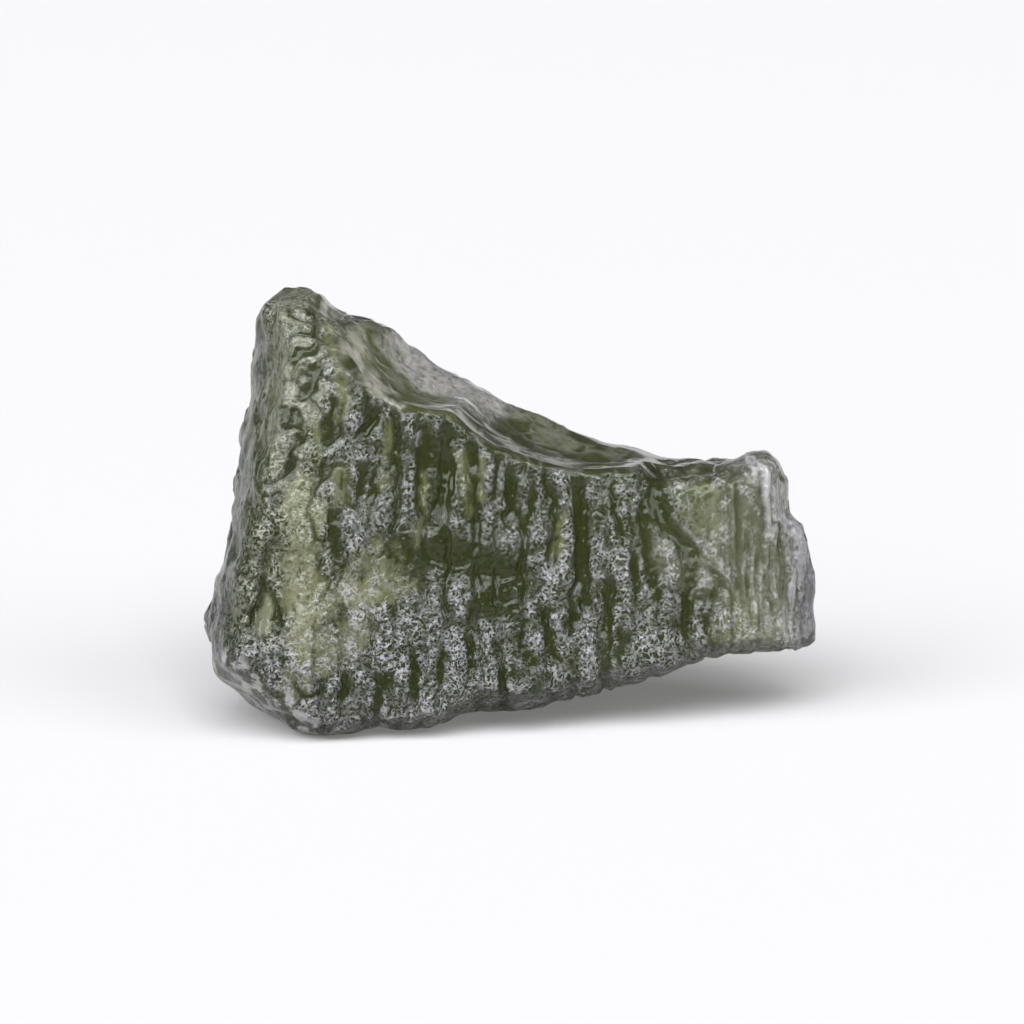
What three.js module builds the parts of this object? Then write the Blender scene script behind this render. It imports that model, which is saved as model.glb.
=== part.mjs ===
// A raw moldavite: one solid piece of natural green glass, wedge shaped and 28 mm long.
// Its broad front is etched into upright flutes and pits. Two smooth shell-shaped chips run down its top
// from the peak at the left, and it rests on a small flat spot under its heavy left half.
//
// The stone is shaped in a face frame, in millimetres: x runs along the broad face to the right, y up the
// face and z out of it towards the viewer. The mesh is then leaned back and stood on its flat spot, so the
// part has +Z up, its broad face towards -Y and its origin on the floor under its middle.

import * as THREE from "three";
import { ImprovedNoise } from "three/addons/math/ImprovedNoise.js";
import { mergeVertices } from "three/addons/utils/BufferGeometryUtils.js";

// How far the broad face leans back from upright
const LEAN = THREE.MathUtils.degToRad(15);

// The outline of the broad face, clockwise from the peak: [along, up]
const OUTLINE = [
  [-9.9, 21.4],
  [-8.8, 20.8],
  [-8.2, 20.0],
  [-7.0, 19.7],
  [-5.5, 19.7],
  [-4.9, 19.2],
  [-4.4, 18.4],
  [-2.2, 16.7],
  [-0.4, 15.9],
  [0.6, 15.7],
  [3.2, 14.2],
  [4.6, 13.6],
  [6.0, 13.5],
  [6.9, 12.9],
  [8.4, 12.7],
  [10.6, 13.1],
  [11.4, 13.5],
  [12.2, 13.0],
  [12.7, 11.9],
  [12.7, 10.5],
  [13.6, 9.7],
  [14.0, 8.3],
  [14.0, 6.3],
  [13.9, 4.8],
  [12.4, 4.4],
  [9.9, 4.2],
  [8.4, 3.5],
  [4.1, 2.3],
  [2.3, 2.0],
  [0.4, 1.4],
  [-2.0, 1.4],
  [-3.6, 0.6],
  [-6.0, 0.2],
  [-9.4, -0.1],
  [-10.8, 0.9],
  [-12.2, 2.1],
  [-13.5, 3.4],
  [-13.9, 4.7],
  [-13.8, 6.9],
  [-13.3, 8.2],
  [-12.8, 11.6],
  [-12.5, 13.4],
  [-12.5, 14.6],
  [-12.0, 16.4],
  [-11.9, 18.7],
  [-11.6, 20.8],
];
const OUTLINE_STEPS = 230;

// The side walls bulge: they are widest at mid depth and curve in with this radius towards both faces
const WALL_BULGE = 11;
const MID_DEPTH = { atMiddle: 0.3, perLength: -0.05, perHeight: -0.3, aboveHeight: 8 };

// The flat faces: outward normal, a point on the face, and how far its edges are rounded
const FACES = [
  { normal: [0.13, 0.02, 1], through: [-3, 9, 4.6], rounding: 0.6 },
  { normal: [0.66, 0, 0.75], through: [11.3, 8, 2.7], rounding: 0.7 },
  { normal: [-0.79, 0.12, 0.6], through: [-11.9, 9, 5.6], rounding: 0.8 },
  { normal: [-0.63, -0.6, 0.5], through: [-11.5, 2.3, 5.7], rounding: 0.6 },
  { normal: [0.06, 0.05, -1], through: [-3, 9, -3.9], rounding: 0.9 },
  { normal: [-0.2, 0.55, -0.81], through: [-9, 18.6, -3.2], rounding: 1 },
  { normal: [-0.75, 0.05, -0.66], through: [-12.4, 9, -2.4], rounding: 1.6 },
  { normal: [0.15, -0.62, -0.77], through: [0, 2.8, -3.8], rounding: 1 },
  { normal: [0.7, 0.1, -0.7], through: [12.6, 8, -2.2], rounding: 1.2 },
];

// The two shell-shaped chips along the top: each hollow's circle where it meets the front and the back,
// and how much it deepens half way between them
const CHIPS = [
  {
    front: { centre: [-3.5, 20], radius: 4.8 },
    back: { centre: [0.05, 22.65], radius: 5.9 },
    sag: 0.35,
  },
  {
    front: { centre: [2.9, 20.2], radius: 7.7 },
    back: { centre: [6.5, 25.5], radius: 11.7 },
    sag: 0.35,
  },
];
const CHIP_DEPTHS = { front: 4.8, back: -3 };
const CHIP_ROUNDING = 0.5;
const CHIP_FADE = 0.8;

// The flat spot that it rests on: how far out of the face frame's middle its front edge lies
const SPOT_FRONT = 4.5;

// The etched surface: upright flutes, round pits, broad lumps, and soft ripples in the chips.
// The mean etch is added back, so that ribs stand out of the outline as far as grooves cut into it.
const FLUTE = { depth: 0.4, pitch: 1.9, stretch: 4.5, wander: 0.45, shareOnFront: 0.45, shareAtTip: 0.3 };
const PIT = { depth: 0.25, cell: 2.6, radius: 0.85, share: 0.5 };
const LUMP = { height: 0.3, size: 4.5 };
const RIPPLE = { height: 0.12, size: 2.2 };
const MEAN_ETCH = 0.13;

// The thin right end, where the flutes run out
const TIP = { from: 10, to: 13 };

// The clearest grooves of the front, as points [along, up] down their length
const GROOVES = [
  { width: 0.9, depth: 0.3, path: [[-8.9, 18.4], [-9.3, 17.8], [-9.9, 17.2]] },
  { width: 1, depth: 0.4, path: [[-8.8, 17.3], [-9.4, 16.3], [-9.8, 15.4]] },
  { width: 0.8, depth: 0.25, path: [[-8.2, 16.3], [-8.3, 14.6], [-8.4, 13.5]] },
  { width: 0.9, depth: 0.35, path: [[-6.1, 14.8], [-6.8, 14.3], [-7.3, 13.6]] },
  { width: 1, depth: 0.35, path: [[-6.5, 12.9], [-6.6, 11.8], [-7.1, 10.8]] },
  { width: 0.8, depth: 0.25, path: [[-9.9, 15.3], [-9.7, 13.5]] },
  { width: 0.9, depth: 0.3, path: [[-10, 13.2], [-10.4, 11.8]] },
  { width: 0.8, depth: 0.25, path: [[-8.5, 13], [-8.8, 12]] },
  { width: 0.9, depth: 0.4, path: [[-8.2, 11], [-8.3, 9.9], [-8, 8.7], [-8.3, 8]] },
  { width: 0.8, depth: 0.25, path: [[-5.8, 15], [-5.5, 13], [-5.7, 12]] },
  { width: 0.8, depth: 0.3, path: [[-4.2, 14.7], [-4, 13.3], [-4.2, 10.5]] },
  { width: 0.9, depth: 0.4, path: [[-2.9, 15], [-3, 13.5], [-3.3, 10.9], [-3.7, 10.3]] },
  { width: 1, depth: 0.4, path: [[-1.9, 13.8], [-1.8, 11.9], [-1.6, 9.9]] },
  { width: 1, depth: 0.45, path: [[-0.1, 13], [-0.1, 11.4], [-0.3, 9.6]] },
  { width: 0.7, depth: 0.25, path: [[0.9, 12.5], [0.9, 10.9], [0.6, 9.6]] },
  { width: 0.8, depth: 0.3, path: [[1.8, 11.9], [1.9, 9.6], [1.7, 8.1]] },
  { width: 1, depth: 0.45, path: [[2.9, 12.4], [3.1, 10.9], [3.2, 8.6], [3.3, 6.3], [3.6, 5.5]] },
  { width: 0.8, depth: 0.25, path: [[4.3, 12.3], [4.7, 10.7], [5, 8.8]] },
  { width: 1.3, depth: 0.45, path: [[6.4, 13], [6.5, 11.4], [7.1, 9.8], [8, 8.9], [8.4, 7.6]] },
  { width: 1, depth: 0.45, path: [[8.4, 7.6], [8, 6.7], [7.9, 4.5]] },
  { width: 0.8, depth: 0.35, path: [[5.9, 11.4], [6, 9.1], [6.3, 7.5], [6.8, 6.3]] },
  { width: 0.8, depth: 0.35, path: [[4.3, 7.6], [4.4, 5.4], [4.3, 2.6]] },
  { width: 0.8, depth: 0.25, path: [[-7.7, 3.3], [-7.6, 1.6]] },
  { width: 0.9, depth: 0.3, path: [[-6.2, 3.6], [-6.2, 0.8]] },
  { width: 0.9, depth: 0.3, path: [[-4.5, 4.6], [-4.6, 1.7]] },
  { width: 0.8, depth: 0.25, path: [[-3.3, 4.6], [-3.4, 2.2]] },
  { width: 0.9, depth: 0.35, path: [[-2, 5.2], [-2, 2.6]] },
  { width: 0.8, depth: 0.25, path: [[-0.5, 3.5], [-0.4, 1.6]] },
  { width: 0.9, depth: 0.3, path: [[1.4, 6.3], [1.8, 4.5], [2.3, 3.2]] },
  { width: 0.7, depth: 0.25, path: [[10.4, 12.3], [10.4, 9.1], [10.6, 5.6]] },
  { width: 0.8, depth: 0.3, path: [[11.3, 12], [11.5, 10], [11.4, 6.7]] },
  { width: 0.8, depth: 0.25, path: [[12.4, 10.5], [12.4, 8.2], [12.3, 6.1]] },
  { width: 0.8, depth: 0.3, path: [[9, 8.2], [9.5, 7.4], [9.9, 6.7]] },
];

// Single hollows of the front, and one knob: centre [along, up], half its size each way, and its depth
const HOLLOWS = [
  { centre: [-11.2, 5.8], reach: [0.8, 1.3], depth: 0.4 },
  { centre: [-1.9, 7.9], reach: [3.4, 1.2], depth: 0.25 },
  { centre: [7.8, 3.3], reach: [0.6, 0.6], depth: 0.3 },
  { centre: [-9.3, 2.9], reach: [0.9, 0.9], depth: -0.3 },
];
const FRONT_FADE = { from: 0.4, to: 1.8 };

// The mesh: a box of points pushed out from a spine to the surface, and passes that even out their spacing
const SEGMENTS = { along: 62, up: 22, through: 12 };
const SPINE = [
  [-11.4, 8, 1.2],
  [-4, 8.6, 0.5],
  [4, 7.8, 0],
  [12.2, 8.2, -0.4],
];
const FAN = { along: 4, up: 10, out: 5, endwards: 5 };
const MARCH_STEP = 0.4;
const BISECTIONS = 18;
const EVENING_PASSES = 5;
const SETTLE_STEPS = 3;
const NUDGE = 0.01;
const SPOT_SNAP = 0.06;

const GLASS = { color: 0x4c5b2c, roughness: 0.3, metalness: 0 };

const noise = new ImprovedNoise();
const { lerp, smoothstep } = THREE.MathUtils;

const outline = new THREE.CatmullRomCurve3(
  OUTLINE.map(([along, up]) => new THREE.Vector3(along, up, 0)),
  true,
).getPoints(OUTLINE_STEPS);

const spine = new THREE.CatmullRomCurve3(SPINE.map((point) => new THREE.Vector3(...point)));

const faces = FACES.map(({ normal, through, rounding }) => ({
  plane: new THREE.Plane().setFromNormalAndCoplanarPoint(
    new THREE.Vector3(...normal).normalize(),
    new THREE.Vector3(...through),
  ),
  rounding,
}));

const spotNormal = new THREE.Vector3(0, -Math.cos(LEAN), -Math.sin(LEAN));

// The larger of two distances, rounded where they are about equal
function smoothMax(a, b, rounding) {
  const overlap = Math.max(rounding - Math.abs(a - b), 0) / rounding;
  return Math.max(a, b) + (overlap * overlap * rounding) / 4;
}

// Distance outside the outline, negative inside it
function outlineDistance(x, y) {
  let nearest = Infinity;
  let inside = false;
  for (let i = 0, j = outline.length - 1; i < outline.length; j = i, i += 1) {
    const a = outline[j];
    const b = outline[i];
    const edgeX = b.x - a.x;
    const edgeY = b.y - a.y;
    const lengthSquared = edgeX * edgeX + edgeY * edgeY;
    if (lengthSquared === 0) continue;
    const share = ((x - a.x) * edgeX + (y - a.y) * edgeY) / lengthSquared;
    const t = Math.min(Math.max(share, 0), 1);
    nearest = Math.min(nearest, Math.hypot(x - a.x - t * edgeX, y - a.y - t * edgeY));
    if (a.y > y !== b.y > y && x < a.x + ((y - a.y) / edgeY) * edgeX) inside = !inside;
  }
  return inside ? -nearest : nearest;
}

// How far in front of mid depth a point lies
function aheadOfMiddle({ x, y, z }) {
  const { atMiddle, perLength, perHeight, aboveHeight } = MID_DEPTH;
  return z - atMiddle - perLength * x - perHeight * Math.max(y - aboveHeight, 0);
}

// The bulging side wall that stands on the outline
function wallDistance(point) {
  const ahead = aheadOfMiddle(point);
  return outlineDistance(point.x, point.y) + (ahead * ahead) / (2 * WALL_BULGE);
}

// How far a point lies inside the deeper of the two chips
function chipDistance({ x, y, z }) {
  const share = (z - CHIP_DEPTHS.front) / (CHIP_DEPTHS.back - CHIP_DEPTHS.front);
  const depths = CHIPS.map(({ front, back, sag }) => {
    const centreX = lerp(front.centre[0], back.centre[0], share);
    const centreY = lerp(front.centre[1], back.centre[1], share);
    const radius = lerp(front.radius, back.radius, share) + 4 * sag * share * (1 - share);
    return radius - Math.hypot(x - centreX, y - centreY);
  });
  return Math.max(...depths);
}

// The plane of the flat spot, which is level once the stone leans back
function spotDistance({ y, z }) {
  return y * spotNormal.y + (z - SPOT_FRONT) * spotNormal.z;
}

// Narrow upright grooves between broad ribs
function flutes({ x, y, z }) {
  const { depth, pitch, stretch, wander, shareAtTip } = FLUTE;
  const bend = wander * noise.noise(x / 5, y / 5, z / 5 + 7);
  const rib = Math.abs(noise.noise(x / pitch + bend, y / (pitch * stretch), z / pitch));
  const groove = Math.max(1 - 3 * rib, 0);
  const share = lerp(1, shareAtTip, smoothstep(x, TIP.from, TIP.to));
  return share * depth * groove * groove;
}

// Repeatable scatter: a number from 0 to 1 for each cell and channel
function scatter(i, j, k, channel) {
  const wave = Math.sin(i * 127.1 + j * 311.7 + k * 74.7 + channel * 269.5) * 43758.5453;
  return wave - Math.floor(wave);
}

// Round cups, about one to each cell, in the given share of the cells
function pits({ x, y, z }) {
  const { depth, cell, radius, share } = PIT;
  const [ci, cj, ck] = [x, y, z].map((value) => Math.floor(value / cell));
  let deepest = 0;
  for (let n = 0; n < 27; n += 1) {
    const i = ci + (n % 3) - 1;
    const j = cj + (Math.floor(n / 3) % 3) - 1;
    const k = ck + Math.floor(n / 9) - 1;
    if (scatter(i, j, k, 0) > share) continue;
    const away = Math.hypot(
      x - (i + scatter(i, j, k, 1)) * cell,
      (y - (j + scatter(i, j, k, 2)) * cell) * 0.6,
      z - (k + scatter(i, j, k, 3)) * cell,
    );
    deepest = Math.max(deepest, 1 - away / radius);
  }
  return depth * smoothstep(deepest, 0, 1);
}

// Distance from a point to a line of straight pieces
function pathDistance(x, y, path) {
  let nearest = Infinity;
  for (let i = 1; i < path.length; i += 1) {
    const [startX, startY] = path[i - 1];
    const edgeX = path[i][0] - startX;
    const edgeY = path[i][1] - startY;
    const share = ((x - startX) * edgeX + (y - startY) * edgeY) / (edgeX * edgeX + edgeY * edgeY);
    const t = THREE.MathUtils.clamp(share, 0, 1);
    nearest = Math.min(nearest, Math.hypot(x - startX - t * edgeX, y - startY - t * edgeY));
  }
  return nearest;
}

// The grooves and hollows of the front
function frontMarks({ x, y }) {
  const grooves = GROOVES.map(({ width, depth, path }) => {
    return depth * smoothstep(1 - pathDistance(x, y, path) / width, 0.1, 1);
  });
  const hollows = HOLLOWS.map(({ centre, reach, depth }) => {
    const away = Math.hypot((x - centre[0]) / reach[0], (y - centre[1]) / reach[1]);
    return depth * smoothstep(1 - away, 0, 0.8);
  });
  return Math.max(...grooves) + hollows.reduce((sum, depth) => sum + depth, 0);
}

// How much the surface is cut back at a point, in millimetres
function relief(point, inChip) {
  const { x, y, z } = point;
  const onFront = smoothstep(aheadOfMiddle(point), FRONT_FADE.from, FRONT_FADE.to);
  const upright = flutes(point) * lerp(1, FLUTE.shareOnFront, onFront) + frontMarks(point) * onFront;
  const lumps = LUMP.height * noise.noise(x / LUMP.size, y / LUMP.size, z / LUMP.size);
  const ripples = RIPPLE.height * noise.noise(x / RIPPLE.size, y / RIPPLE.size, z / RIPPLE.size);
  return lerp(upright + pits(point) + lumps - MEAN_ETCH, ripples, inChip);
}

// Distance outside the stone, negative inside it
function stoneDistance(point) {
  let body = wallDistance(point);
  for (const { plane, rounding } of faces) {
    body = smoothMax(body, plane.distanceToPoint(point), rounding);
  }
  const chip = chipDistance(point);
  const inChip = smoothstep(chip, -CHIP_FADE, 0);
  const skin = smoothMax(body, chip, CHIP_ROUNDING) + relief(point, inChip);
  return Math.max(skin, spotDistance(point));
}

// The point where a ray from the spine leaves the stone
function surfacePoint(start, direction) {
  const at = (reach) => start.clone().addScaledVector(direction, reach);
  let outside = MARCH_STEP;
  while (stoneDistance(at(outside)) < 0) outside += MARCH_STEP;
  let inside = outside - MARCH_STEP;
  for (let i = 0; i < BISECTIONS; i += 1) {
    const middle = (inside + outside) / 2;
    if (stoneDistance(at(middle)) < 0) inside = middle;
    else outside = middle;
  }
  return at(outside);
}

// Move a point along the slope of the distance until it lies on the surface
function settle(point) {
  for (let i = 0; i < SETTLE_STEPS; i += 1) {
    const distance = stoneDistance(point);
    const slope = new THREE.Vector3(
      stoneDistance({ x: point.x + NUDGE, y: point.y, z: point.z }) - distance,
      stoneDistance({ x: point.x, y: point.y + NUDGE, z: point.z }) - distance,
      stoneDistance({ x: point.x, y: point.y, z: point.z + NUDGE }) - distance,
    ).divideScalar(NUDGE);
    point.addScaledVector(slope, -distance / Math.max(slope.lengthSq(), 0.5));
  }
  const above = spotDistance(point);
  if (above > -SPOT_SNAP) point.addScaledVector(spotNormal, -above);
}

// The points that share an edge with each point of a mesh
function neighbourLists(geometry) {
  const lists = Array.from({ length: geometry.getAttribute("position").count }, () => new Set());
  const corners = geometry.index.array;
  for (let i = 0; i < corners.length; i += 3) {
    for (let side = 0; side < 3; side += 1) {
      const a = corners[i + side];
      const b = corners[i + ((side + 1) % 3)];
      lists[a].add(b);
      lists[b].add(a);
    }
  }
  return lists;
}

// Move every point half way to the middle of its neighbours, then back onto the surface
function evenOut(points, neighbours) {
  const moved = points.map((point, i) => {
    const middle = new THREE.Vector3();
    for (const n of neighbours[i]) middle.add(points[n]);
    return middle.divideScalar(neighbours[i].size).lerp(point, 0.5);
  });
  moved.forEach(settle);
  return moved;
}

// A box whose points are pushed out from the spine to the surface
function stoneGeometry() {
  const box = new THREE.BoxGeometry(2, 2, 2, SEGMENTS.along, SEGMENTS.up, SEGMENTS.through);
  box.deleteAttribute("normal");
  box.deleteAttribute("uv");
  const geometry = mergeVertices(box);
  const position = geometry.getAttribute("position");
  let points = Array.from({ length: position.count }, (_, i) => {
    const { x, y, z } = new THREE.Vector3().fromBufferAttribute(position, i);
    const start = spine.getPoint((x + 1) / 2);
    const direction = new THREE.Vector3(FAN.along * x ** FAN.endwards, FAN.up * y, FAN.out * z);
    return surfacePoint(start, direction.normalize());
  });
  const neighbours = neighbourLists(geometry);
  for (let pass = 0; pass < EVENING_PASSES; pass += 1) points = evenOut(points, neighbours);
  points.forEach(({ x, y, z }, i) => position.setXYZ(i, x, y, z));
  geometry.computeVertexNormals();
  return geometry;
}

const moldavite = new THREE.Mesh(stoneGeometry(), new THREE.MeshStandardMaterial(GLASS));
moldavite.name = "moldavite";
moldavite.rotation.x = Math.PI / 2 - LEAN;

// Stand it on its flat spot, with the origin under the middle of its box
const box = new THREE.Box3().setFromObject(moldavite, true);
const middle = box.getCenter(new THREE.Vector3());
moldavite.position.set(-middle.x, -middle.y, -box.min.z);

const stone = new THREE.Group();
stone.add(moldavite);

export default stone;
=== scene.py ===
import math
from types import SimpleNamespace

import bmesh
import bpy
import numpy as np
from mathutils import Matrix, Vector


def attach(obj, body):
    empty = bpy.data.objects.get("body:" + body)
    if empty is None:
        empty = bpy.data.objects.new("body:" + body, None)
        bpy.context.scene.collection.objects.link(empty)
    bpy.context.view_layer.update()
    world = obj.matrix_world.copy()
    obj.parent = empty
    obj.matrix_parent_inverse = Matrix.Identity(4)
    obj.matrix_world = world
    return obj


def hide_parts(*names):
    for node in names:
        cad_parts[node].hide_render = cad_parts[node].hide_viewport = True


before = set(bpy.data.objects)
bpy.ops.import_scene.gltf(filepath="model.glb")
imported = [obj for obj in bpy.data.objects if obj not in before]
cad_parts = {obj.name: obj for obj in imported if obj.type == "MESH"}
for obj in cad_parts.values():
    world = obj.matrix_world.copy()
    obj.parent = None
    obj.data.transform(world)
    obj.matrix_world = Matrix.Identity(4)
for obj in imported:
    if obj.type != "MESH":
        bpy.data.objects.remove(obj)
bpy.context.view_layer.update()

# A raw moldavite on a pale studio floor: one piece of etched green glass

MM = 0.001
SEED = 11

# The stone's face frame, in millimetres: along the broad front, up it, and out of it
LEAN = math.radians(15)
FACE_ORIGIN = (0.0634, -1.6269, -1.1647)

# Fine mesh: spacing of its points, halved on faces turned this far towards the broad front
VOXEL = 0.19
FRONT_FACING = 0.3
WELD = 0.001
SOFTEN_STEPS = (0.5, -0.52)
SOFTEN_PASSES = 4
FINE_SOFTEN_PASSES = 2

# The flat spot that the stone rests on stays as it is: height over which the relief fades in
SPOT_FADE = (0.15, 0.6)

# Outward directions of the two smoother faces at the left: the side, and the bevel under it
SIDE = (-0.79, 0.12, 0.6)
BEVEL = (-0.63, -0.6, 0.5)

# The two chips: their circles at the front and at the back, (along, up, radius), and the depths of both
CHIPS = [((-3.5, 20.0, 4.8), (0.05, 22.65, 5.9)), ((2.9, 20.2, 7.7), (6.5, 25.5, 11.7))]
CHIP_FRONT = 4.8
CHIP_BACK = -3.0
CHIP_SAG = 0.35

# Where the zones of the stone fade in, from and to: by outward direction, or in millimetres on the face
FADES = {
    "front": (0.25, 0.6),
    "side": (0.88, 0.96),
    "bevel": (0.76, 0.9),
    "left": (0.3, 0.7),
    "down": (0.2, 0.6),
    "chip": (-0.55, -0.15),
    "chip_facing_up": (0.1, 0.4),
    "fall_facing_right": (0.5, 0.75),
    "fall_leftwards": (3.5, 6),
    "fall_upwards": (14.5, 16),
    "upper_left_leftwards": (6, 8),
    "upper_left_upwards": (7, 10),
    "right": (3.5, 6.5),
    "tip": (8.5, 11),
    "above_lower": (4.5, 6.5),
    "above_dots": (7.6, 9),
    "upper": (7.5, 10),
    "warm_leftwards": (7.5, 9.5),
    "warm_upwards": (3.5, 5.5),
}

# Etched relief, in millimetres: a size is the length over which its noise or its cells change
SKIN = 0.08
WOBBLE = {"distance": 0.3, "size": 0.6}
MOTTLE = {"distance": 0.8, "size": 1.1}
RIB = {
    "pitch": 1.2,
    "groove": 0.62,
    "depth": 0.28,
    "sway": 0.6,
    "sway_size": (2.4, 3.0, 2.4),
    "shiver": 0.3,
    "shiver_size": 0.9,
    "break_size": (1.3, 2.0, 1.3),
    "break_fade": (-0.35, 0.1),
}
NOTCH = {"depth": 0.35, "size": (1.3, 1.5, 1.3), "width": 0.1}
LUMP = {
    "depth": 0.28,
    "rise": 0.12,
    "size": 1.6,
    "warp": 0.35,
    "warp_size": 0.9,
    "crease": 0.8,
    "crease_width": 0.13,
    "crease_fade": 0.1,
    "dome_width": 0.4,
    "dome_power": 0.6,
    "end": (19.2, 20.6),
}
CUP = {"depth": 0.05, "size": 1.0, "stretch": (1, 0.6, 1), "radius": 0.5, "fade": 0.4}
GRAIN = {"height": 0.06, "size": 0.34, "stretch": (1, 0.8, 1), "fade": 0.6, "grit": 0.6, "grit_size": 0.2}
SCALLOP = {"depth": 0.4, "size": 1.5, "rise": 0.03}
UNDERSIDE = {"depth": 0.22, "size": 0.9, "tip_rise": 0.15}
PEAK = {"calm": 0.7, "calm_from": (19.3, 20.6), "lower": 0.12, "lower_from": (19.9, 20.7)}
TIP = {
    "calm": 0.8,
    "calm_from": (12.2, 13.0),
    "streak": 0.13,
    "streak_size": (0.3, 2.6, 0.3),
    "streak_fade": (0, 0.25),
}
CHIP_NET = {
    "height": 0.03,
    "size": 1.2,
    "stretch": (1, 1, 0.7),
    "width": 0.2,
    "wander": {"distance": 0.5, "size": 0.9, "axes": 3},
    "gap_size": 1.4,
    "gap_fade": (-0.4, 0.15),
}
CHIP_RIM = {"height": 0.2, "backwards": (-0.5, 1.5), "start": (-0.5, 1), "end": 7, "end_fade": 2}
STROKE_TAPER = 0.9

# Swellings at the left: how far, where they start leftwards and upwards, and their top
BULGES = [(0.22, (9.2, 11.4), (17.2, 19.4), 22.5), (0.25, (11, 13), (1.5, 3), 5.4)]
BULGE_FADE = 1.5

# The clearest grooves of the front: half width, depth, and points along and up the face
GROOVES = [
    (0.25, 0.2, [(-9.5, 19.8), (-9.2, 19.4)]),
    (0.22, 0.14, [(-8.9, 19.0), (-9.3, 18.7), (-10.0, 18.8)]),
    (0.35, 0.22, [(-8.8, 18.3), (-9.3, 17.9), (-9.7, 17.8), (-10.2, 17.2)]),
    (0.45, 0.28, [(-8.6, 17.4), (-9.1, 16.9), (-9.2, 16.2), (-9.9, 15.6)]),
    (0.3, 0.2, [(-8.2, 16.1), (-8.3, 14.7), (-8.4, 13.5)]),
    (0.3, 0.2, [(-10.5, 15.5), (-10.5, 14.5)]),
    (0.3, 0.2, [(-9.9, 15.4), (-10.3, 14.4)]),
    (0.38, 0.28, [(-6.0, 15.4), (-6.6, 14.5), (-7.3, 13.8)]),
    (0.35, 0.18, [(-6.8, 13.0), (-7.0, 11.9), (-7.3, 10.8)]),
    (0.3, 0.15, [(-6.3, 12.7), (-6.4, 11.5), (-6.9, 10.7)]),
    (0.3, 0.14, [(-9.9, 15.3), (-9.7, 13.5)]),
    (0.35, 0.16, [(-10.0, 13.2), (-10.4, 11.8)]),
    (0.3, 0.14, [(-8.5, 13.0), (-8.8, 12.0)]),
    (0.35, 0.18, [(-8.2, 11.0), (-8.3, 9.9), (-8.0, 8.7), (-8.3, 8.0)]),
    (0.3, 0.14, [(-5.8, 15.0), (-5.5, 13.0), (-5.7, 12.0)]),
    (0.3, 0.14, [(-4.2, 14.7), (-4.0, 13.3), (-4.2, 10.5)]),
    (0.35, 0.2, [(-2.9, 15.0), (-3.0, 13.5), (-2.9, 12.3), (-3.3, 10.9), (-3.7, 10.3)]),
    (0.4, 0.2, [(-2.0, 14.0), (-1.9, 11.9), (-1.7, 9.9)]),
    (0.4, 0.2, [(-0.1, 13.0), (-0.1, 11.4), (-0.3, 9.6)]),
    (0.28, 0.14, [(0.9, 12.5), (0.9, 10.9), (0.6, 9.6)]),
    (0.3, 0.16, [(1.8, 11.9), (1.9, 9.6), (1.7, 8.1)]),
    (0.4, 0.22, [(2.9, 12.4), (3.1, 10.9), (3.2, 8.6), (3.3, 6.3), (3.6, 5.5)]),
    (0.28, 0.14, [(4.3, 12.3), (4.7, 10.7), (5.0, 8.8)]),
    (0.6, 0.18, [(6.4, 13.0), (6.5, 11.4), (7.1, 9.8), (8.0, 8.9), (8.4, 7.6)]),
    (0.4, 0.2, [(8.4, 7.6), (8.0, 6.7), (7.9, 4.5)]),
    (0.32, 0.17, [(5.9, 11.4), (6.0, 9.1), (6.3, 7.5), (6.8, 6.3)]),
    (0.3, 0.17, [(4.3, 7.6), (4.4, 5.4), (4.3, 2.6)]),
    (0.25, 0.14, [(5.5, 8.7), (5.6, 7.0)]),
    (0.28, 0.14, [(4.9, 5.6), (4.9, 3.2)]),
    (0.3, 0.14, [(-7.7, 3.3), (-7.6, 1.6)]),
    (0.32, 0.16, [(-6.2, 3.6), (-6.2, 0.8)]),
    (0.3, 0.14, [(-4.5, 4.6), (-4.6, 1.7)]),
    (0.28, 0.14, [(-3.3, 4.6), (-3.4, 2.2)]),
    (0.34, 0.17, [(-2.0, 5.2), (-2.0, 2.6)]),
    (0.3, 0.14, [(-0.5, 3.5), (-0.4, 1.6)]),
    (0.3, 0.16, [(1.4, 6.3), (1.8, 4.5), (2.3, 3.2)]),
    (0.24, 0.12, [(10.4, 12.3), (10.4, 9.1), (10.6, 5.6)]),
    (0.3, 0.14, [(11.3, 12.0), (11.5, 10.0), (11.4, 7.7)]),
    (0.24, 0.12, [(10.8, 8.2), (10.9, 4.8)]),
    (0.28, 0.12, [(12.4, 10.5), (12.4, 8.2), (12.3, 6.1)]),
    (0.28, 0.14, [(9.0, 8.2), (9.5, 7.4), (10.0, 6.7)]),
    (0.28, 0.14, [(8.8, 6.0), (8.9, 4.7)]),
    (0.22, 0.24, [(-11.2, 7.0), (-11.8, 5.9), (-12.0, 5.3), (-11.7, 4.9)]),
    (0.2, 0.2, [(-11.2, 7.1), (-10.7, 6.1), (-10.5, 5.2), (-10.9, 4.7)]),
    (0.16, 0.14, [(-10.9, 6.5), (-11.0, 5.6), (-10.7, 5.0)]),
    (0.22, 0.14, [(-10.1, 3.0), (-9.9, 2.3), (-9.3, 2.0), (-8.7, 2.4), (-8.5, 3.0)]),
    (0.4, 0.2, [(7.7, 3.4), (7.9, 3.2)]),
]
FULL_GROOVE = 0.1

# The glass's own colour, and the pale colour of its etched frost speckle, which is painted glints: painted
# highlights of the lights on the ribs
DEEP = (0.055, 0.065, 0.02)
GLINT_FROST = (0.94, 0.92, 1.0)
WARM_GLINT_FROST = (0.92, 0.93, 0.79)
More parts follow.
